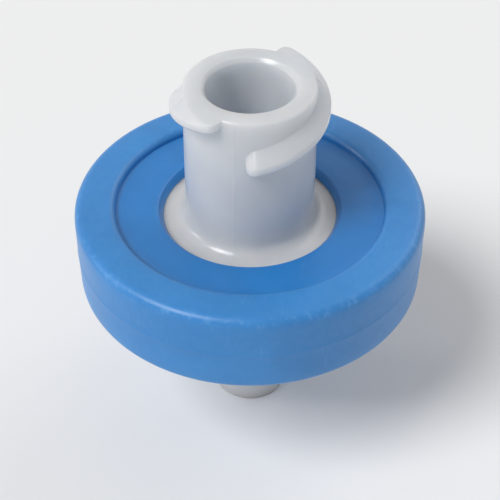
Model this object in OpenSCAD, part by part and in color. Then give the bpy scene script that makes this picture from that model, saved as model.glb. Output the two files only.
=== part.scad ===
// Disposable 13 mm syringe filter.
// Two halves moulded in natural polypropylene clamp a round membrane, and a blue
// ring moulded round their flanges holds them together. The inlet is a female
// Luer lock and points up, the outlet is a male Luer slip and points down.
// Origin: centre of the outlet tip's end face. Units: millimetres.

/* [Membrane] */
// Diameter of the membrane disc
membrane_d = 13; // [11:0.1:16]
// Thickness of the membrane disc
membrane_t = 0.13; // [0.1:0.01:0.3]
// Width of the edge band that the two halves clamp
seal_w = 1; // [0.6:0.1:1.4]

/* [Housing plates] */
// Solid thickness of the inlet plate
inlet_plate_t = 1.05; // [0.8:0.05:1.6]
// Solid thickness of the outlet plate under its drain channels
outlet_plate_t = 0.8; // [0.6:0.05:1.4]
// Depth of the head space above the membrane
head_depth = 0.3; // [0.2:0.05:0.6]
// Depth of the drain channels under the membrane
drain_depth = 0.4; // [0.2:0.05:0.8]
// Width of the flange outside the membrane pocket
flange_w = 0.8; // [0.6:0.05:1.4]
// Radius on the flange's outer edges
flange_edge_r = 0.2; // [0.1:0.05:0.3]

/* [Ring] */
// Wall of the ring outside the flanges
ring_wall = 1.5; // [0.9:0.1:2]
// Thickness of the lips that grip the two plates
lip_t = 0.45; // [0.35:0.05:1.2]
// Width of the bare plate between each lip and the fillet of the hub or boss
window_margin = 0.4; // [0.2:0.05:0.8]
// Width of the slope at each lip's inner edge
lip_slope_w = 0.3; // [0.2:0.05:0.5]
// Width of the raised rim round each face
rim_w = 2.1; // [1:0.1:2.4]
// Height of the raised rim above the lips
rim_h = 0.45; // [0.1:0.05:0.5]
// Radius on the ring's outer edges
ring_edge_r = 0.45; // [0.2:0.05:0.6]
// Number of keys that stop the halves turning in the ring
key_count = 12; // [6:1:16]
// Radius of each key
key_r = 0.75; // [0.5:0.05:0.9]
// Depth of each key in the flange's edge
key_depth = 0.4; // [0.2:0.05:0.5]

/* [Inlet, female Luer lock] */
// Bore at the mouth of the socket
socket_d = 4.29; // [4.27:0.005:4.315]
// Depth of the tapered socket
socket_depth = 7.7; // [7.5:0.1:10]
// Wall of the hub at its mouth
hub_wall = 1.05; // [0.8:0.05:1.2]
// Fillet between the hub and the inlet plate
hub_fillet_r = 0.7; // [0.4:0.1:1.3]
// Length of the straight passage under the socket
passage_len = 1.1; // [0.8:0.1:2]
// Bore of the straight passage under the socket
passage_d = 2; // [1.4:0.1:2.6]
// Height of the locking lugs
lug_h = 0.65; // [0.5:0.05:0.8]
// Width of the lugs at their crest, between the flanks
lug_crest_w = 0.4; // [0.3:0.05:0.6]
// Radius on the crest's two edges
lug_edge_r = 0.2; // [0.05:0.05:0.2]
// Angle round the hub at which the first lug starts
lug_start = -100; // [-180:5:180]
// Angle that each lug goes round the hub
lug_span = 160; // [100:5:170]
// Lead of the two-start lug thread
lug_lead = 5; // [4:0.5:6]

/* [Outlet, male Luer slip] */
// Diameter of the nozzle at its tip
tip_d = 3.97; // [3.93:0.01:4.03]
// Length of the tapered nozzle below its boss
nozzle_len = 7.9; // [7.5:0.1:10]
// Bore through the nozzle
outlet_bore_d = 2.1; // [1.4:0.1:2.4]
// Diameter of the boss that carries the nozzle
boss_d = 6.2; // [5.4:0.1:7]
// Height of the boss on the outlet plate
boss_h = 1.65; // [1.2:0.05:3]

/* [Flow pattern] */
// Number of radial ribs above the membrane, and of radial drains below it
spoke_count = 8; // [4:1:12]
// Width of the radial ribs
rib_w = 0.45; // [0.3:0.05:0.6]
// Height of the radial ribs
rib_h = 0.2; // [0.1:0.05:0.25]
// Width of the radial drains
drain_w = 0.6; // [0.4:0.05:0.8]
// Width of each ring-shaped land under the membrane
land_w = 0.35; // [0.25:0.05:0.45]
// Distance from one land to the next
land_pitch = 0.75; // [0.65:0.05:1]

/* [Hidden] */
$fn = 96;

// Luer taper: the radius changes by 3 mm in 100 mm
taper = 0.03;
// Gap left between faces that are clamped or bonded together
bond_gap = 0.02;
// Gap between the membrane's edge and its pocket
pocket_gap = 0.1;
// Side draft of the moulded hub
hub_draft = 0.5;
// Chamfer at the socket's mouth, and the radius on its outer edge
mouth_chamfer = 0.2;
mouth_edge_r = 0.15;
// Radius at the bottom of the socket
socket_floor_r = 0.35;
// Radii on the nozzle and its boss
tip_edge_r = 0.15;
nozzle_fillet_r = 0.3;
boss_edge_r = 0.2;
boss_fillet_r = 0.5;
// Countersink from the drains into the outlet bore
funnel_w = 0.5;
// Angles of the lugs' upper and lower flanks, from the plane of the mouth
lug_upper_angle = 45;
lug_lower_angle = 25;
// Angle over which each end of a lug rounds up to its full height
lug_ramp = 9;
// Share of its full width that a lug's end keeps, and how far the end sinks into the hub
lug_end_w = 0.5;
lug_end_sink = 0.06;
// Sections along a lug and round each end; the first is odd, so that none lies along an axis
lug_steps = 25;
lug_end_steps = 5;
// Moulding marks on the lip at the ring's outlet side, and the least lip beside them
ejector_d = 1.3;
mark_margin = 0.15;
ejector_depth = 0.06;
ejector_count = 4;
gate_d = 1.1;
gate_depth = 0.15;
gate_stub_d = 0.6;
gate_stub_h = 0.08;
// How far joined shapes run into each other
sink = 0.3;

// Radii from the axis outwards
membrane_r = membrane_d / 2;
chamber_r = membrane_r - seal_w;
pocket_r = membrane_r + pocket_gap;
flange_r = pocket_r + flange_w;
ring_r = flange_r + ring_wall;
rim_inner_r = ring_r - rim_w;
socket_r = socket_d / 2;
passage_r = passage_d / 2;
hub_r = socket_r + hub_wall;
tip_r = tip_d / 2;
bore_r = outlet_bore_d / 2;
boss_r = boss_d / 2;
key_centre_r = flange_r - key_depth + key_r;

// Heights from the outlet tip upwards
outlet_face_z = nozzle_len + boss_h;
low_lip_z = outlet_face_z - lip_t;
ring_bottom_z = low_lip_z - rim_h;
drain_floor_z = outlet_face_z + outlet_plate_t;
pocket_floor_z = drain_floor_z + drain_depth;
membrane_z = pocket_floor_z + bond_gap;
outlet_rim_z = membrane_z + membrane_t;
inlet_rim_z = outlet_rim_z + bond_gap;
head_z = inlet_rim_z + head_depth;
inlet_face_z = head_z + inlet_plate_t;
high_lip_z = inlet_face_z + lip_t;
ring_top_z = high_lip_z + rim_h;
socket_floor_z = head_z + passage_len;
mouth_z = socket_floor_z + socket_depth;
socket_floor_wall_r = socket_r - taper * socket_depth;
hub_base_r = hub_r + (mouth_z - inlet_face_z) * tan(hub_draft);
window_r = max(hub_base_r + hub_fillet_r, boss_r + boss_fillet_r) + window_margin;
lip_edge_r = window_r + lip_slope_w;

// Points of an arc about [r, z], from one angle to another
function arc(r, z, radius, from, to, steps = 8) =
    [for (i = [0 : steps])
        let (a = from + (to - from) * i / steps)
        [r + radius * cos(a), z + radius * sin(a)]];

// Outline of the hub, the inlet plate and the socket in it
inlet_outline = concat(
    [[passage_r, head_z], [chamber_r, head_z], [chamber_r, inlet_rim_z],
     [flange_r, inlet_rim_z]],
    arc(flange_r - flange_edge_r, inlet_face_z - flange_edge_r, flange_edge_r, 0, 90),
    arc(hub_base_r + hub_fillet_r, inlet_face_z + hub_fillet_r, hub_fillet_r, 270, 180, 16),
    arc(hub_r - mouth_edge_r, mouth_z - mouth_edge_r, mouth_edge_r, 0, 90, 4),
    [[socket_r + mouth_chamfer, mouth_z], [socket_r, mouth_z - mouth_chamfer]],
    arc(socket_floor_wall_r - socket_floor_r, socket_floor_z + socket_floor_r,
        socket_floor_r, 0, -90),
    [[passage_r, socket_floor_z]]);

// Outline of the nozzle, its boss and the outlet plate with the membrane's pocket
nozzle_root_r = tip_r + taper * (nozzle_len - nozzle_fillet_r);
outlet_outline = concat(
    [[bore_r, 0]],
    arc(tip_r - tip_edge_r, tip_edge_r, tip_edge_r, -90, 0, 4),
    arc(nozzle_root_r + nozzle_fillet_r, nozzle_len - nozzle_fillet_r,
        nozzle_fillet_r, 180, 90),
    arc(boss_r - boss_edge_r, nozzle_len + boss_edge_r, boss_edge_r, -90, 0, 4),
    arc(boss_r + boss_fillet_r, outlet_face_z - boss_fillet_r, boss_fillet_r, 180, 90),
    arc(flange_r - flange_edge_r, outlet_face_z + flange_edge_r, flange_edge_r, -90, 0),
    [[flange_r, outlet_rim_z], [pocket_r, outlet_rim_z], [pocket_r, pocket_floor_z],
     [chamber_r, pocket_floor_z], [chamber_r, drain_floor_z],
     [bore_r + funnel_w, drain_floor_z], [bore_r, drain_floor_z - funnel_w]]);

// Outline of the ring: a channel that wraps both flanges, open towards the axis
grip_r = flange_r + bond_gap;
grip_edge_r = flange_edge_r + bond_gap;
grip_low_z = outlet_face_z - bond_gap;
grip_high_z = inlet_face_z + bond_gap;
ring_outline = concat(
    [[window_r, grip_high_z], [lip_edge_r, high_lip_z]],
    arc(rim_inner_r + rim_h, high_lip_z, rim_h, 180, 90),
    arc(ring_r - ring_edge_r, ring_top_z - ring_edge_r, ring_edge_r, 90, 0),
    arc(ring_r - ring_edge_r, ring_bottom_z + ring_edge_r, ring_edge_r, 0, -90),
    arc(rim_inner_r + rim_h, low_lip_z, rim_h, 270, 180),
    [[lip_edge_r, low_lip_z], [window_r, grip_low_z]],
    arc(grip_r - grip_edge_r, grip_low_z + grip_edge_r, grip_edge_r, -90, 0),
    arc(grip_r - grip_edge_r, grip_high_z - grip_edge_r, grip_edge_r, 0, 90));

// Repeats its children evenly round the axis
module around(count, first = 0) {
    for (i = [0 : count - 1])
        rotate(first + i * 360 / count) children();
}

// Round keys at the flanges' edge, smaller than their seats by the clearance
module keys(clearance, low_z, high_z) {
    around(key_count)
        translate([key_centre_r, 0, low_z])
            cylinder(r = key_r - clearance, h = high_z - low_z);
}

// Outline of a lug's section: [distance out from the hub, height above the crest's upper edge]
lug_root = -hub_wall / 2;
lug_reach = lug_h - lug_root;
lug_outline = concat(
    [[lug_root, -lug_crest_w - lug_reach * tan(lug_lower_angle)]],
    arc(lug_h - lug_edge_r, -lug_crest_w + lug_edge_r * tan(45 - lug_lower_angle / 2),
        lug_edge_r, lug_lower_angle - 90, 0, 3),
    arc(lug_h - lug_edge_r, -lug_edge_r * tan(45 - lug_upper_angle / 2),
        lug_edge_r, 0, 90 - lug_upper_angle, 3),
    [[lug_root, lug_reach * tan(lug_upper_angle)]]);

// Stations along a lug: [angle from its start, share of the full section], with round ends
lug_stations = concat(
    [for (i = [0 : lug_end_steps - 1])
        let (a = 90 * i / lug_end_steps) [lug_ramp * (1 - cos(a)), sin(a)]],
    [for (i = [0 : lug_steps]) [lug_ramp + (lug_span - 2 * lug_ramp) * i / lug_steps, 1]],
    [for (i = [lug_end_steps - 1 : -1 : 0])
        let (a = 90 * i / lug_end_steps) [lug_span - lug_ramp * (1 - cos(a)), sin(a)]]);

// Points of a lug's section at one station
function lug_section(station) =
    let (
        rise = station[1],
        width = lug_end_w + (1 - lug_end_w) * rise,
        crest_z = mouth_z - lug_lead * station[0] / 360)
    [for (p = lug_outline)
        let (
            r = hub_r + (p[0] < 0 ? p[0] : p[0] * rise - lug_end_sink * (1 - rise)),
            z = crest_z - lug_crest_w / 2 + (p[1] + lug_crest_w / 2) * width)
        [r * cos(station[0]), -r * sin(station[0]), z]];

// Locking lug: a right-hand thread segment that starts flush with the mouth
module lug() {
    corners = len(lug_outline);
    last = (len(lug_stations) - 1) * corners;
    sides = [for (i = [0 : len(lug_stations) - 2], k = [0 : corners - 1])
        let (a = i * corners + k, b = i * corners + (k + 1) % corners)
        each [[a, a + corners, b + corners], [a, b + corners, b]]];
    polyhedron([for (station = lug_stations) each lug_section(station)],
        concat([[for (k = [0 : corners - 1]) k]], sides,
            [[for (k = [corners - 1 : -1 : 0]) last + k]]), convexity = 4);
}

// Inlet half: Luer lock socket, plate and the ribs that spread the flow
module inlet_housing() color([0.88, 0.91, 0.93, 0.6]) {
    difference() {
        union() {
            rotate_extrude() polygon(inlet_outline);
            around(2, lug_start) difference() {
                lug();
                translate([0, 0, mouth_z]) cylinder(r = 2 * hub_r, h = lug_lead);
            }
            around(spoke_count)
                translate([passage_r + rib_w, -rib_w / 2, head_z - rib_h])
                    cube([chamber_r - passage_r - 2 * rib_w, rib_w, rib_h + sink]);
        }
        keys(0, inlet_rim_z - sink, inlet_face_z + sink);
    }
}

// Ring-shaped lands that carry the membrane, parted by the radial drains
module lands() {
    first_r = bore_r + funnel_w + land_pitch / 4;
    difference() {
        for (r = [first_r : land_pitch : chamber_r - land_w])
            translate([0, 0, drain_floor_z - sink]) difference() {
                cylinder(r = r + land_w, h = drain_depth + sink);
                translate([0, 0, -sink]) cylinder(r = r, h = drain_depth + 3 * sink);
            }
        around(spoke_count, 180 / spoke_count)
            translate([0, -drain_w / 2, drain_floor_z])
                cube([membrane_r, drain_w, drain_depth + sink]);
    }
}

// Outlet half: Luer slip nozzle, boss, plate and the membrane's support
module outlet_housing() color([0.88, 0.91, 0.93, 0.6]) {
    difference() {
        union() {
            rotate_extrude() polygon(outlet_outline);
            lands();
        }
        keys(0, outlet_face_z - sink, outlet_rim_z + sink);
    }
}

// Porous disc clamped round its edge between the two halves
module membrane() color([0.97, 0.97, 0.95])
    translate([0, 0, membrane_z]) cylinder(r = membrane_r, h = membrane_t);

// Coloured ring moulded round both flanges
module overmould_ring() color([0.10, 0.42, 0.82]) {
    mark_r = (lip_edge_r + rim_inner_r) / 2;
    mark_room = rim_inner_r - lip_edge_r - 2 * mark_margin;
    difference() {
        union() {
            rotate_extrude() polygon(ring_outline);
            intersection() {
                keys(bond_gap, grip_low_z - sink, grip_high_z + sink);
                cylinder(r = grip_r + sink, h = ring_top_z);
            }
        }
        around(ejector_count)
            translate([mark_r, 0, low_lip_z - sink])
                cylinder(d = min(ejector_d, mark_room), h = ejector_depth + sink);
        around(2, 45)
            translate([mark_r, 0, low_lip_z]) difference() {
                translate([0, 0, -sink])
                    cylinder(d = min(gate_d, mark_room), h = gate_depth + sink);
                translate([0, 0, gate_depth - gate_stub_h])
                    cylinder(d = gate_stub_d, h = gate_stub_h + sink);
            }
    }
}

inlet_housing();
outlet_housing();
membrane();
overmould_ring();
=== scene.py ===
import math

import bmesh
import bpy
from mathutils import Matrix, Vector


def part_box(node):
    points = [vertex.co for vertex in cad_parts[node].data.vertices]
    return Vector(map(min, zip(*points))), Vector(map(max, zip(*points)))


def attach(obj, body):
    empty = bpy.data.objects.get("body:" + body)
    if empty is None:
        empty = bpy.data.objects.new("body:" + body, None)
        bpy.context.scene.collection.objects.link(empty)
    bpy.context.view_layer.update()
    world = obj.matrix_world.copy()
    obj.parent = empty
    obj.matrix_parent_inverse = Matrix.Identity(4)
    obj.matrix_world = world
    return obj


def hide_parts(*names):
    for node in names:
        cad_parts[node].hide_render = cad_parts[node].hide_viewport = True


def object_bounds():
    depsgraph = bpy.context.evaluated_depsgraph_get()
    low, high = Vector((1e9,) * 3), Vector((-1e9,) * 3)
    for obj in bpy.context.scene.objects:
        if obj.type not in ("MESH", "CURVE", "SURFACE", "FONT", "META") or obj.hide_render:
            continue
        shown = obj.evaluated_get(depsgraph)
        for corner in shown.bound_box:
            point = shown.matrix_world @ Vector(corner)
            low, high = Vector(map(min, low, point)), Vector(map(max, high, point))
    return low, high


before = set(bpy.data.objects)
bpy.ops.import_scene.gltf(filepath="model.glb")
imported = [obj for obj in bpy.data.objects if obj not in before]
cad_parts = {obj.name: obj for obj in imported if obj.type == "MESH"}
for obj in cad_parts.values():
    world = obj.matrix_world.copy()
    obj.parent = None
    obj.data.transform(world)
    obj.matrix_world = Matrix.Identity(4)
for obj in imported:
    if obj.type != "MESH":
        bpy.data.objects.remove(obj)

cad_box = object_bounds()

# ---------------------------------------------------------------- sizes, mm
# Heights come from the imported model. The rest repeats the part's own sizes.
MM = 0.001


def heights(node):
    """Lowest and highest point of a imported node, in millimetres."""
    low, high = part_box(node)
    return low[2] / MM, high[2] / MM


INLET_RIM_Z, MOUTH_Z = heights("inlet_housing")
TIP_Z, OUTLET_RIM_Z = heights("outlet_housing")
RING_LOW_Z, RING_HIGH_Z = heights("overmould_ring")

RIM_H = 0.45                  # step between the two bands of the ring's face
LIP_T = 0.45
GAP = 0.02                    # between the ring and the halves it is moulded round
PARTING_Z = (RING_LOW_Z + RING_HIGH_Z) / 2
HIGH_LIP_Z = RING_HIGH_Z - RIM_H
LOW_LIP_Z = RING_LOW_Z + RIM_H
INLET_FACE_Z = HIGH_LIP_Z - LIP_T
OUTLET_FACE_Z = LOW_LIP_Z + LIP_T
HEAD_Z = INLET_RIM_Z + 0.3
DRAIN_FLOOR_Z = OUTLET_FACE_Z + 0.8
LAND_TOP_Z = OUTLET_RIM_Z - 0.15
SOCKET_FLOOR_Z = HEAD_Z + 1.1
NOZZLE_LEN = 7.9

CHAMBER_R = 5.5
POCKET_R = 6.6
FLANGE_R = 7.4
RING_R = min(cad_box[1].x, cad_box[1].y) / MM - 0.001    # a hair inside the CAD box
RIM_INNER_R = 6.8
GRIP_R = FLANGE_R + GAP
WINDOW_R = 4.363
LIP_EDGE_R = 4.663
PASSAGE_R = 1.0
SOCKET_R = 2.145
SOCKET_FLOOR_R = 1.914
MOUTH_CHAMFER = 0.2
HUB_R = 3.195
HUB_BASE_R = 3.263
HUB_FOOT_R = 0.7              # rounding between the hub and the plate
HUB_WALL = 1.05
TIP_R = 1.985
NOZZLE_ROOT_R = 2.22
BORE_R = 1.05
FUNNEL_W = 0.5
FUNNEL_R = BORE_R + FUNNEL_W
BOSS_R = 3.1

LUG_H = 0.65
LUG_CREST_W = 0.4
LUG_EDGE_R = 0.2
LUG_UPPER = math.radians(45)
LUG_LOWER = math.radians(25)
LUG_START = -100              # degrees, where the first lug leaves the mouth
LUG_SPAN = 160                # degrees
LUG_LEAD = 5                  # drop in one full turn
LUG_NOSE = 9                  # degrees over which each end rounds off

SPOKES = 8
RIB_W = 0.45
RIB_H = 0.2
RIB_END_GAP = 0.45            # between a rib's ends and the passage or the chamber's wall
DRAIN_W = 0.6
LANDS = 5
LAND_W = 0.35
LAND_PITCH = 0.75
FIRST_LAND = 0.1875           # from the funnel's edge to the first land

DRAFT = 0.035                 # how far the ring's wall leans in at both faces
LINE_H = 0.012                # how proud its parting line stands

# marks on the outlet side of the ring, in the middle of its lower band
EJECTOR_R, EJECTOR_DEPTH = 0.65, 0.06
GATE_PIT_R, GATE_PIT_DEPTH = 0.55, 0.15
GATE_STUB_R, GATE_STUB_SUNK = 0.3, 0.07
MARK_R = (LIP_EDGE_R + RIM_INNER_R) / 2

RIDGE_W = 0.07
RIDGE_H = 0.018
RIDGE_ROOT = 0.1              # how deep the ridge reaches into the wall

TURN_STEPS = 144
RING_STEPS = 180
LINE_GAP = 0.7                # longest straight edge in a turned outline
SHARP = math.radians(35)      # edges bent further than this stay crisp


# ---------------------------------------------------------------- mesh work
def piece_from(name, bm):
    """A new object whose smooth-shaded mesh is this bmesh, with its faces pointing outwards."""
    bmesh.ops.remove_doubles(bm, verts=bm.verts, dist=1e-7)
    bmesh.ops.recalc_face_normals(bm, faces=bm.faces)
    mesh = bpy.data.meshes.new(name)
    bm.to_mesh(mesh)
    bm.free()
    made = bpy.data.objects.new(name, mesh)
    bpy.context.scene.collection.objects.link(made)
    return made


def section(bm, outline):
    """The face of a half section. Each corner is (radius, height, rounding), in order round it."""
    corners = [bm.verts.new((r * MM, 0, z * MM)) for r, z, _ in outline]
    bm.faces.new(corners)
    count = len(corners)
    turns = []
    for i in range(count):
        a = (corners[i].co - corners[i - 1].co).normalized()
        b = (corners[(i + 1) % count].co - corners[i].co).normalized()
        turns.append(a.angle(b))
    for corner, turn, (_, _, rounding) in zip(corners, turns, outline):
        if rounding:
            bmesh.ops.bevel(bm, geom=[corner], offset=rounding * MM * math.tan(turn / 2),
                            affect="VERTICES", segments=max(2, round(rounding * 12) + 1),
                            profile=0.5, material=-1)


def turned(name, outline, steps):
    """A body turned about the part's axis, from its closed half section."""
    bm = bmesh.new()
    section(bm, outline)
    bmesh.ops.delete(bm, geom=bm.faces[:], context="FACES_ONLY")
    for edge in list(bm.edges):
        cuts = int(edge.calc_length() / (LINE_GAP * MM))
        if cuts:
            bmesh.ops.subdivide_edges(bm, edges=[edge], cuts=cuts)
    bmesh.ops.spin(bm, geom=bm.verts[:] + bm.edges[:], cent=(0, 0, 0), axis=(0, 0, 1),
                   dvec=(0, 0, 0), angle=2 * math.pi, steps=steps, use_merge=True)
    return piece_from(name, bm)


def parting_ridge(bearing):
    """The hair line that the mould's two side blocks leave down the hub and over the plate."""
    top_z = MOUTH_Z - 0.17
    end_r = WINDOW_R - 0.06
    skin_z = INLET_FACE_Z + RIDGE_H
    root_z = INLET_FACE_Z - RIDGE_ROOT
    bm = bmesh.new()
    section(bm, [
        (HUB_R + RIDGE_H, top_z, 0.01), (HUB_BASE_R + RIDGE_H, skin_z, HUB_FOOT_R - RIDGE_H),
        (end_r, skin_z, 0.01), (end_r, root_z, 0),
        (HUB_BASE_R - RIDGE_ROOT, root_z, HUB_FOOT_R), (HUB_R - RIDGE_ROOT, top_z, 0)])
    half = Vector((0, RIDGE_W / 2 * MM, 0))
    swept = bmesh.ops.extrude_face_region(bm, geom=bm.faces[:])["geom"]
    moved = [v for v in swept if isinstance(v, bmesh.types.BMVert)]
    bmesh.ops.translate(bm, vec=2 * half, verts=moved)
    bmesh.ops.translate(bm, vec=-half, verts=bm.verts)
    bmesh.ops.rotate(bm, verts=bm.verts, cent=(0, 0, 0),
                     matrix=Matrix.Rotation(math.radians(bearing), 3, "Z"))
    return piece_from("parting_ridge", bm)


def carve(piece, tool, operation):
    """Adds the tool's shape to the piece, or cuts it away, and drops the tool."""
    step = piece.modifiers.new("carve", "BOOLEAN")
    step.operation, step.solver, step.object = operation, "EXACT", tool
    shown = piece.evaluated_get(bpy.context.evaluated_depsgraph_get())
    mesh = bpy.data.meshes.new_from_object(shown)
    piece.modifiers.clear()
    old, piece.data = piece.data, mesh
    mesh.name = piece.name
    bpy.data.meshes.remove(old)
    bpy.data.objects.remove(tool)


def finish_moulding(piece, material):
    """Smooth shading that keeps crisp edges crisp and flat faces flat, and the piece's material."""
    bm = bmesh.new()
    bm.from_mesh(piece.data)
    bmesh.ops.remove_doubles(bm, verts=bm.verts, dist=2e-7)
    for face in bm.faces:
        face.smooth = True
    for edge in bm.edges:
        edge.smooth = edge.is_manifold and edge.calc_face_angle(0) < SHARP
    bm.to_mesh(piece.data)
    bm.free()
    piece.data.materials.clear()
    piece.data.materials.append(material)
    even = piece.modifiers.new("even_shading", "WEIGHTED_NORMAL")
    even.keep_sharp = True


def turn_of(vert):
    """How far round the axis a corner lies, in degrees clockwise from the X axis."""
    return -math.degrees(math.atan2(vert.co.y, vert.co.x)) % 360


def lug_pair():
    """The two locking lugs: a rounded section wound down the hub, with round noses."""
    bm = bmesh.new()
    root = -HUB_WALL / 2
    reach = LUG_H - root
    corners = [bm.verts.new(((HUB_R + out) * MM, 0, (MOUTH_Z + up) * MM)) for out, up in
               ((root, -LUG_CREST_W - reach * math.tan(LUG_LOWER)), (LUG_H, -LUG_CREST_W),
                (LUG_H, 0), (root, reach * math.tan(LUG_UPPER)))]
    bm.faces.new(corners)
    for corner, flank in ((corners[1], LUG_LOWER), (corners[2], LUG_UPPER)):
        bmesh.ops.bevel(bm, geom=[corner], affect="VERTICES", segments=5, profile=0.5,
                        offset=LUG_EDGE_R * MM * math.tan(math.pi / 4 - flank / 2),
                        material=-1)
    bmesh.ops.delete(bm, geom=bm.faces[:], context="FACES_ONLY")
    steps = LUG_SPAN * 2 // 3
    bmesh.ops.spin(bm, geom=bm.verts[:] + bm.edges[:], cent=(0, 0, 0), axis=(0, 0, 1),
                   dvec=(0, 0, -LUG_LEAD * LUG_SPAN / 360 / steps * MM),
                   angle=-math.radians(LUG_SPAN), steps=steps)

    # both ends shrink into the hub as a round nose, and their last section stays just open
    least = 0.06
    step = LUG_SPAN / steps
    for turn in [step * i for i in range(int(LUG_NOSE / step) + 1)]:
        along = 1 - turn / LUG_NOSE
        rise = max(least, math.sqrt(max(0, 1 - along * along)))
        for place in (turn, LUG_SPAN - turn):
            spin = Matrix.Rotation(-math.radians(place), 4, "Z")
            middle = Vector((HUB_R, 0, MOUTH_Z - LUG_LEAD * place / 360 - LUG_CREST_W / 2))
            home = Matrix.Translation(-middle * MM) @ spin.inverted()
            ring = [v for v in bm.verts if abs(turn_of(v) - place) < step / 3]
            bmesh.ops.scale(bm, vec=(rise, 1, 0.5 + 0.5 * rise), space=home, verts=ring)
            sunk = spin @ Vector((-least * (1 - rise) * MM, 0, 0))
            bmesh.ops.translate(bm, vec=sunk, verts=ring)
    bmesh.ops.holes_fill(bm, edges=[e for e in bm.edges if e.is_boundary])
    bmesh.ops.recalc_face_normals(bm, faces=bm.faces)

    # a plane a hair under the mouth cuts the lugs, and the cut's edge is softened past the nose
    level = (0, 0, (MOUTH_Z - 0.004) * MM)
    bmesh.ops.bisect_plane(bm, geom=bm.verts[:] + bm.edges[:] + bm.faces[:], dist=1e-8,
                           plane_co=level, plane_no=(0, 0, 1), clear_outer=True)
    cap = bmesh.ops.holes_fill(bm, edges=[e for e in bm.edges if e.is_boundary])["faces"]
    rim = [e for e in {e for f in cap for e in f.edges}
           if all(v.co.xy.length > HUB_R * MM and turn_of(v) > LUG_NOSE for v in e.verts)]
    bmesh.ops.bevel(bm, geom=rim, offset=0.06 * MM, affect="EDGES", segments=2,
                    profile=0.5, material=-1)

    bmesh.ops.rotate(bm, cent=(0, 0, 0), verts=bm.verts,
                     matrix=Matrix.Rotation(math.radians(LUG_START), 3, "Z"))
    twin = bmesh.ops.duplicate(bm, geom=bm.verts[:] + bm.edges[:] + bm.faces[:])["geom"]
    bmesh.ops.rotate(bm, cent=(0, 0, 0), matrix=Matrix.Rotation(math.pi, 3, "Z"),
                     verts=[v for v in twin if isinstance(v, bmesh.types.BMVert)])
    return piece_from("lugs", bm)


def spokes(name, inner_r, outer_r, width, low_z, high_z, first):
    """Bars that run out from the axis, evenly spaced."""
    bm = bmesh.new()
    bar = bmesh.ops.create_cube(bm, size=1)["verts"]
    bmesh.ops.scale(bm, verts=bar,
                    vec=((outer_r - inner_r) * MM, width * MM, (high_z - low_z) * MM))
    bmesh.ops.translate(bm, verts=bar, vec=((outer_r + inner_r) / 2 * MM, 0,
                                            (high_z + low_z) / 2 * MM))
    bmesh.ops.rotate(bm, verts=bar, cent=(0, 0, 0),
                     matrix=Matrix.Rotation(math.radians(first), 3, "Z"))
    bmesh.ops.spin(bm, geom=bm.verts[:] + bm.edges[:] + bm.faces[:], cent=(0, 0, 0),
                   axis=(0, 0, 1), angle=2 * math.pi * (SPOKES - 1) / SPOKES,
                   steps=SPOKES - 1, use_duplicate=True)
    return piece_from(name, bm)


def round_mark(name, r, low_z, high_z, bearing):
    """A short round tool for a moulding mark in the ring's lower band, with softened edges."""
    height = high_z - low_z
    bm = bmesh.new()
    bmesh.ops.create_cone(bm, cap_ends=True, segments=40, radius1=r * MM, radius2=r * MM,
                          depth=height * MM)
    rims = [e for e in bm.edges if len(e.link_faces) == 2
            and any(len(f.verts) > 4 for f in e.link_faces)]
    bmesh.ops.bevel(bm, geom=rims, offset=min(0.05, height / 4) * MM, affect="EDGES",
                    segments=2, profile=0.5, material=-1)
    bmesh.ops.translate(bm, verts=bm.verts, vec=(MARK_R * MM, 0, (low_z + high_z) / 2 * MM))
    bmesh.ops.rotate(bm, verts=bm.verts, cent=(0, 0, 0),
                     matrix=Matrix.Rotation(math.radians(bearing), 3, "Z"))
    return piece_from(name, bm)


# ---------------------------------------------------------------- materials
def feed(tree, shader_node, inputs):
    """Links each input to a socket or sets it to a value."""
    for key, value in inputs.items():
        if isinstance(value, bpy.types.NodeSocket):
            tree.links.new(value, shader_node.inputs[key])
        else:
            shader_node.inputs[key].default_value = value


def node(tree, kind, inputs=None, **settings):
    """A shader node with its settings and its inputs."""
    made = tree.nodes.new("ShaderNode" + kind)
    for key, value in settings.items():
        setattr(made, key, value)
    feed(tree, made, inputs or {})
    return made


def blank(name):
    """A new material's tree and its Principled shader."""
    material = bpy.data.materials.new(name)
    material.use_nodes = True
    return material, material.node_tree, material.node_tree.nodes["Principled BSDF"]


def maths(tree, operation, a, b=0.0, clamp=False):
    return node(tree, "Math", {0: a, 1: b}, operation=operation, use_clamp=clamp).outputs[0]


def span(tree, value, low, high, to_low=0.0, to_high=1.0):
    """Maps low..high smoothly onto to_low..to_high."""
    return node(tree, "MapRange", {"Value": value, "From Min": low, "From Max": high,
                                   "To Min": to_low, "To Max": to_high},
                interpolation_type="SMOOTHSTEP").outputs["Result"]


def mix(tree, factor, a, b):
    """Colour a where the factor is 0, colour b where it is 1."""
    # inputs 6 and 7 and output 2 are the node's colour ones
    return node(tree, "Mix", {0: factor, 6: a, 7: b}, data_type="RGBA").outputs[2]


def stretched(tree, scale=(1, 1, 1), turn=(0, 0, 0)):
    """The piece's own coordinates, stretched and turned for a pattern."""
    place = node(tree, "TexCoord").outputs["Object"]
    return node(tree, "Mapping", {"Vector": place, "Scale": scale,
                                  "Rotation": turn}).outputs["Vector"]


def noise(tree, where, scale, detail=2.0, roughness=0.5, distortion=0.0):
    return node(tree, "TexNoise", {"Vector": where, "Scale": scale, "Detail": detail,
                                   "Roughness": roughness,
                                   "Distortion": distortion}).outputs["Fac"]


def scuffs(tree, turn):
    """Hair scratches in one direction, from 0 to 1, broken up so that only some show."""
    along = noise(tree, stretched(tree, (1.0, 0.05, 0.12), turn), 9000, 1.0)
    where = noise(tree, stretched(tree), 420, 1.0)
    return maths(tree, "MULTIPLY", span(tree, along, 0.66, 0.72), span(tree, where, 0.5, 0.62))


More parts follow.
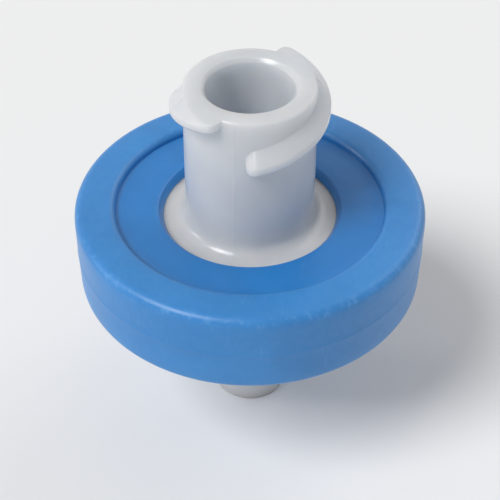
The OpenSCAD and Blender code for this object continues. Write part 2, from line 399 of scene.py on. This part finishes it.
def tool_turning(tree):
    """Fine rings that the lathe left in the mould, carried over to the flat faces."""
    return node(tree, "TexWave", {"Vector": stretched(tree), "Scale": 2600, "Distortion": 0.4,
                                  "Detail": 1.0},
                wave_type="RINGS", rings_direction="Z").outputs["Fac"]


def bumped(tree, height, strength, distance):
    """The surface's normal over a pattern of this height."""
    return node(tree, "Bump", {"Height": height, "Strength": strength,
                               "Distance": distance}).outputs["Normal"]


POLYPROPYLENE_IOR = 1.49


def natural_polypropylene():
    """Uncoloured polypropylene: milky, satin, a little clearer where it is thin."""
    material, tree, shader = blank("natural_polypropylene")
    haze = noise(tree, stretched(tree, (1, 1, 0.4)), 260, 3.0, 0.5, 0.6)
    ripple = noise(tree, stretched(tree, (1, 1, 0.6)), 900, 2.0, 0.5)
    grain = noise(tree, stretched(tree), 5200, 2.0)
    colour = mix(tree, span(tree, haze, 0.35, 0.65), (0.70, 0.72, 0.75, 1),
                 (0.76, 0.775, 0.795, 1))
    height = maths(tree, "ADD", ripple, maths(tree, "MULTIPLY", grain, 0.25))
    height = maths(tree, "ADD", height, maths(tree, "MULTIPLY", tool_turning(tree), 0.2))
    feed(tree, shader, {
        "Base Color": colour,
        "Roughness": span(tree, haze, 0.3, 0.7, 0.20, 0.26),
        "Normal": bumped(tree, height, 0.25, 1.5e-5),
        "IOR": POLYPROPYLENE_IOR,
        "Transmission Weight": 0.2,
        "Subsurface Weight": 1.0,
        "Subsurface Scale": 0.0014,
        "Subsurface Radius": (0.9, 1.0, 1.1)})
    return material


def blue_polypropylene():
    """The ring's dyed polypropylene: satin azure with faint swirls and rubbed edges. Its recessed
    band is darker, partly as painted shade, and its raised band lighter, partly as painted sheen.
    """
    material, tree, shader = blank("blue_polypropylene")
    place = node(tree, "TexCoord").outputs["Object"]
    parts = node(tree, "SeparateXYZ", {0: place})
    flat = node(tree, "CombineXYZ", {0: parts.outputs[0], 1: parts.outputs[1]})
    radius = node(tree, "VectorMath", {0: flat.outputs[0]}, operation="LENGTH").outputs["Value"]
    off = maths(tree, "ABSOLUTE", maths(tree, "SUBTRACT", parts.outputs[2], PARTING_Z * MM))

    # the two outer corners, and the raised band with the wall outside it
    edge = maths(tree, "MULTIPLY", span(tree, radius, 8.45 * MM, 8.75 * MM),
                 span(tree, off, 1.75 * MM, 2.1 * MM))
    raised = span(tree, radius, (RIM_INNER_R - 0.06) * MM, (RIM_INNER_R + 0.12) * MM)

    swirl = noise(tree, stretched(tree), 160, 3.0, 0.5, 1.2)
    ripple = noise(tree, stretched(tree), 620, 2.0, 0.5)
    grain = noise(tree, stretched(tree), 5600, 2.0)
    patches = noise(tree, stretched(tree), 2300, 4.0, 0.65)
    rubbed = maths(tree, "MULTIPLY", edge, span(tree, patches, 0.5, 0.64))
    marks = maths(tree, "ADD", scuffs(tree, (0.1, 0.1, 0.9)), scuffs(tree, (1.3, 0.2, 2.6)))
    marks = maths(tree, "MULTIPLY", marks, span(tree, raised, 0.0, 1.0, 0.35, 1.0))
    # the raised band lightened in mottled patches: partly handling wear, partly painted sheen that
    # stands in for the light the band catches
    handling_wear_and_painted_sheen = maths(tree, "MULTIPLY", raised, span(tree, patches, 0.40, 0.64, 0.65, 1.0))
    wear_and_painted_sheen = maths(tree, "ADD", maths(tree, "MULTIPLY", rubbed, 0.16),
                 maths(tree, "MULTIPLY", marks, 0.12))
    wear_and_painted_sheen = maths(tree, "ADD", wear_and_painted_sheen, maths(tree, "MULTIPLY", handling_wear_and_painted_sheen, 0.10), clamp=True)

    # the recessed inner band takes the deeper dye and the raised band the lighter one: partly a
    # two-tone in the dye, partly painted shade in the recess and painted light on the raised band
    tone = span(tree, swirl, 0.3, 0.7)
    recess_dye_with_painted_shade = mix(tree, tone, (0.010, 0.164, 0.470, 1), (0.016, 0.198, 0.540, 1))
    light = mix(tree, tone, (0.014, 0.188, 0.510, 1), (0.022, 0.222, 0.580, 1))
    two_tone_with_painted_shade = mix(tree, raised, recess_dye_with_painted_shade, light)
    # paler where rubbed, scuffed or handled; on the raised band this is also painted sheen
    colour = mix(tree, wear_and_painted_sheen, two_tone_with_painted_shade, (0.24, 0.50, 0.82, 1))
    rough = maths(tree, "ADD", span(tree, swirl, 0.3, 0.7, 0.29, 0.35),
                  maths(tree, "MULTIPLY", wear_and_painted_sheen, 0.5))
    height = maths(tree, "ADD", maths(tree, "MULTIPLY", grain, 0.2),
                   maths(tree, "MULTIPLY", tool_turning(tree), 0.14))
    height = maths(tree, "ADD", height, ripple)
    height = maths(tree, "SUBTRACT", height, maths(tree, "MULTIPLY", marks, 0.15))
    feed(tree, shader, {
        "Base Color": colour,
        "Roughness": rough,
        "Normal": bumped(tree, height, 0.35, 2.2e-5),
        "IOR": POLYPROPYLENE_IOR,
        "Subsurface Weight": 0.2,
        "Subsurface Scale": 0.0006,
        "Subsurface Radius": (0.1, 0.4, 1.0)})
    return material


def porous_film():
    """The membrane: dry white film with a fine, soft grain."""
    material, tree, shader = blank("porous_film")
    grain = noise(tree, stretched(tree), 6000, 4.0, 0.7)
    cloud = noise(tree, stretched(tree), 500, 2.0)
    colour = mix(tree, cloud, (0.84, 0.84, 0.82, 1), (0.90, 0.90, 0.885, 1))
    feed(tree, shader, {
        "Base Color": colour,
        "Roughness": span(tree, grain, 0.2, 0.8, 0.75, 0.95),
        "Normal": bumped(tree, grain, 0.5, 1e-5)})
    return material


natural = natural_polypropylene()
blue = blue_polypropylene()
film = porous_film()

# ---------------------------------------------------------------- inlet half
inlet = turned("inlet_half", [
    (PASSAGE_R, HEAD_Z, 0.05), (CHAMBER_R, HEAD_Z, 0.1), (CHAMBER_R, INLET_RIM_Z, 0.04),
    (FLANGE_R, INLET_RIM_Z, 0.05), (FLANGE_R, INLET_FACE_Z, 0.2),
    (HUB_BASE_R, INLET_FACE_Z, HUB_FOOT_R), (HUB_R, MOUTH_Z, 0.15),
    (SOCKET_R + MOUTH_CHAMFER, MOUTH_Z, 0.04), (SOCKET_R, MOUTH_Z - MOUTH_CHAMFER, 0.1),
    (SOCKET_FLOOR_R, SOCKET_FLOOR_Z, 0.35), (PASSAGE_R, SOCKET_FLOOR_Z, 0.08)], TURN_STEPS)
carve(inlet, lug_pair(), "UNION")
carve(inlet, spokes("ribs", PASSAGE_R + RIB_END_GAP, CHAMBER_R - RIB_END_GAP, RIB_W,
                    HEAD_Z - RIB_H, HEAD_Z + 0.3, 0), "UNION")
for bearing in (-90, 90):
    carve(inlet, parting_ridge(bearing), "UNION")
finish_moulding(inlet, natural)
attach(inlet, "root")
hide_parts("inlet_housing")

# ---------------------------------------------------------------- outlet half
lands = []
for start in [FUNNEL_R + FIRST_LAND + LAND_PITCH * i for i in reversed(range(LANDS))]:
    lands += [(start + LAND_W, DRAIN_FLOOR_Z, 0.04), (start + LAND_W, LAND_TOP_Z, 0.04),
              (start, LAND_TOP_Z, 0.04), (start, DRAIN_FLOOR_Z, 0.04)]
outlet = turned("outlet_half", [
    (BORE_R, TIP_Z, 0.06), (TIP_R, TIP_Z, 0.15), (NOZZLE_ROOT_R, NOZZLE_LEN, 0.3),
    (BOSS_R, NOZZLE_LEN, 0.2), (BOSS_R, OUTLET_FACE_Z, 0.5), (FLANGE_R, OUTLET_FACE_Z, 0.2),
    (FLANGE_R, OUTLET_RIM_Z, 0.05), (POCKET_R, OUTLET_RIM_Z, 0.04),
    (POCKET_R, LAND_TOP_Z, 0.04), (CHAMBER_R, LAND_TOP_Z, 0.05),
    (CHAMBER_R, DRAIN_FLOOR_Z, 0.06), *lands, (FUNNEL_R, DRAIN_FLOOR_Z, 0.05),
    (BORE_R, DRAIN_FLOOR_Z - FUNNEL_W, 0.1)], TURN_STEPS)
carve(outlet, spokes("drains", FUNNEL_R + 0.1, CHAMBER_R - 0.02, DRAIN_W,
                     DRAIN_FLOOR_Z + 0.004, LAND_TOP_Z + 0.3, 180 / SPOKES), "DIFFERENCE")
finish_moulding(outlet, natural)
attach(outlet, "root")
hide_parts("outlet_housing")

# ---------------------------------------------------------------- ring
SIDE_R = RING_R - DRAFT
WALL_R = RING_R - LINE_H
ring = turned("grip_ring", [
    (WINDOW_R, INLET_FACE_Z + GAP, 0.04), (LIP_EDGE_R, HIGH_LIP_Z, 0.12),
    (RIM_INNER_R, HIGH_LIP_Z, 0.06), (RIM_INNER_R, RING_HIGH_Z, 0.38),
    (SIDE_R, RING_HIGH_Z, 0.45), (WALL_R, PARTING_Z + 0.045, 0.01),
    (RING_R, PARTING_Z + 0.02, 0.008), (RING_R, PARTING_Z - 0.02, 0.008),
    (WALL_R, PARTING_Z - 0.045, 0.01), (SIDE_R, RING_LOW_Z, 0.45),
    (RIM_INNER_R, RING_LOW_Z, 0.38), (RIM_INNER_R, LOW_LIP_Z, 0.06),
    (LIP_EDGE_R, LOW_LIP_Z, 0.12), (WINDOW_R, OUTLET_FACE_Z - GAP, 0.04),
    (GRIP_R, OUTLET_FACE_Z - GAP, 0.22), (GRIP_R, INLET_FACE_Z + GAP, 0.22)], RING_STEPS)
for bearing in (0, 90, 180, 270):
    carve(ring, round_mark("ejector_mark", EJECTOR_R, RING_LOW_Z,
                           LOW_LIP_Z + EJECTOR_DEPTH, bearing), "DIFFERENCE")
for bearing in (45, 225):
    carve(ring, round_mark("gate_pit", GATE_PIT_R, RING_LOW_Z,
                           LOW_LIP_Z + GATE_PIT_DEPTH, bearing), "DIFFERENCE")
    carve(ring, round_mark("gate_stub", GATE_STUB_R, LOW_LIP_Z + GATE_STUB_SUNK,
                           LOW_LIP_Z + GATE_PIT_DEPTH + 0.12, bearing), "UNION")
finish_moulding(ring, blue)
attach(ring, "root")
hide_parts("overmould_ring")

# ---------------------------------------------------------------- membrane
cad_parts["membrane"].material_slots[0].material = film


# ---------------------------------------------------------------- studio
low, high = cad_box
centre = (low + high) / 2


def studio_floor():
    """A plain pale sweep under the part."""
    material, tree, shader = blank("studio_floor")
    cloud = noise(tree, stretched(tree), 12, 1.0)
    feed(tree, shader, {
        "Base Color": mix(tree, cloud, (0.86, 0.862, 0.865, 1), (0.87, 0.872, 0.875, 1)),
        "Roughness": 0.7,
        "Specular IOR Level": 0.0})
    bm = bmesh.new()
    bmesh.ops.create_grid(bm, x_segments=8, y_segments=8, size=1.5)
    floor = piece_from("floor", bm)
    floor.data.materials.append(material)


def toward(azimuth, elevation):
    """The direction from the part to something seen at this azimuth and elevation."""
    a, e = math.radians(azimuth), math.radians(elevation)
    return Vector((math.sin(a) * math.cos(e), -math.cos(a) * math.cos(e), math.sin(e)))


def aim(thing, name, azimuth, elevation, distance, target):
    """Places a light or camera so that it looks at the target."""
    held = bpy.data.objects.new(name, thing)
    back = toward(azimuth, elevation)
    held.location = target + back * distance
    held.rotation_euler = back.to_track_quat("Z", "Y").to_euler()
    bpy.context.scene.collection.objects.link(held)
    return held


def soft_sun(name, azimuth, elevation, spread, power):
    """An even, soft-edged light that falls the same way on the whole floor."""
    light = bpy.data.lights.new(name, "SUN")
    light.angle, light.energy = math.radians(spread), power
    aim(light, name, azimuth, elevation, 0.3, centre)


def pale_room(fill, seen):
    """Even light from all round, which shows up behind the part as a paler wall."""
    world = bpy.data.worlds.new("pale_room")
    world.use_nodes = True
    tree = world.node_tree
    ray = node(tree, "LightPath").outputs
    shown = maths(tree, "ADD", ray["Is Camera Ray"], ray["Is Glossy Ray"])
    shown = maths(tree, "ADD", shown, ray["Is Transmission Ray"], clamp=True)
    strength = maths(tree, "ADD", maths(tree, "MULTIPLY", shown, seen - fill), fill)
    feed(tree, tree.nodes["Background"], {"Color": (1, 1, 1, 1), "Strength": strength})
    bpy.context.scene.world = world


studio_floor()
pale_room(fill=0.36, seen=0.863)
soft_sun("key", -42, 52, 26, 1.98)
soft_sun("back", 150, 38, 40, 0.5)
soft_sun("side", -78, 18, 14, 0.35)

SENSOR, LENS = 36.0, 85.0
CLOSER = 0.80                 # nearer than where a ball round the part would fill the frame
AIM_BELOW = Vector((0, 0, 0.4 * MM))
camera = bpy.data.cameras.new("camera")
camera.sensor_width, camera.lens = SENSOR, LENS
camera.clip_start, camera.clip_end = 0.001, 10
reach = (high - low).length / 2 / math.sin(math.atan(SENSOR / 2 / LENS))
bpy.context.scene.camera = aim(camera, "camera", 14, 42, reach * CLOSER, centre - AIM_BELOW)
bpy.context.scene.view_settings.view_transform = "Standard"
